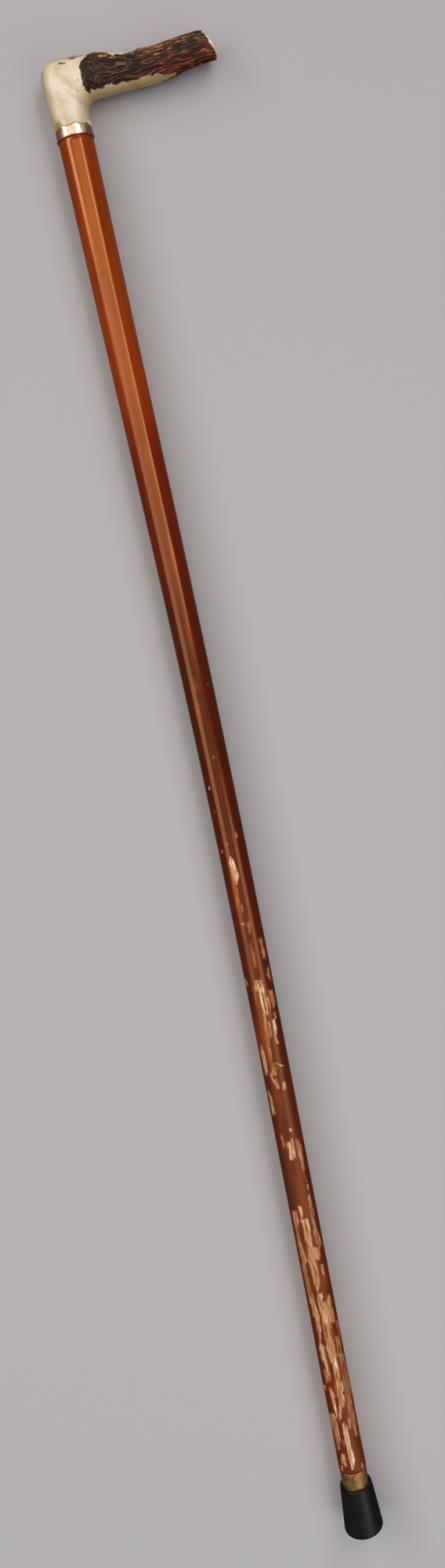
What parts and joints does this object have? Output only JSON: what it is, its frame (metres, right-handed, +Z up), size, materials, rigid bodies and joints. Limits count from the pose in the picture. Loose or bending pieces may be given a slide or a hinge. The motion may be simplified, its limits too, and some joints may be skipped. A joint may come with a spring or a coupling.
{
  "type": "walking stick",
  "caption": "Walking stick with an L-shaped antler handle, a crown-edged metal collar, a slightly bowed cane shaft, a metal ferrule and a pull-off rubber tip.",
  "frame": {"origin": "middle of the rubber tip's flat foot", "axes": "+Z up the stick from the foot, +X towards the nose of the handle, +Y to the back as seen in the picture"},
  "size_m": [0.107, 0.0232, 0.9],
  "materials": {
    "antler": "polished stag antler with the dark bark left on the grip",
    "gold": "polished rose-gold plate",
    "steel": "plain steel",
    "malacca": "glossy red-brown lacquer, flaked to bare cane on the lower half",
    "brass": "aged dull brass",
    "iron": "worn iron",
    "rubber": "matte black rubber"
  },
  "bodies": {
    "stick": {"antler_handle": "antler", "gold_collar": "gold", "handle_stud": "steel", "malacca_shaft": "malacca", "brass_ferrule": "brass", "iron_end_plug": "iron", "ferrule_pin_left": "brass", "ferrule_pin_right": "brass"},
    "tip": {"rubber_tip": "rubber", "tip_washer": "steel"}
  },
  "joints": [
    {"name": "tip_pull_off", "type": "slide", "parent": "stick", "child": "tip", "axis": [0, 0, -1], "range_m": [0, 0.03]}
  ]
}
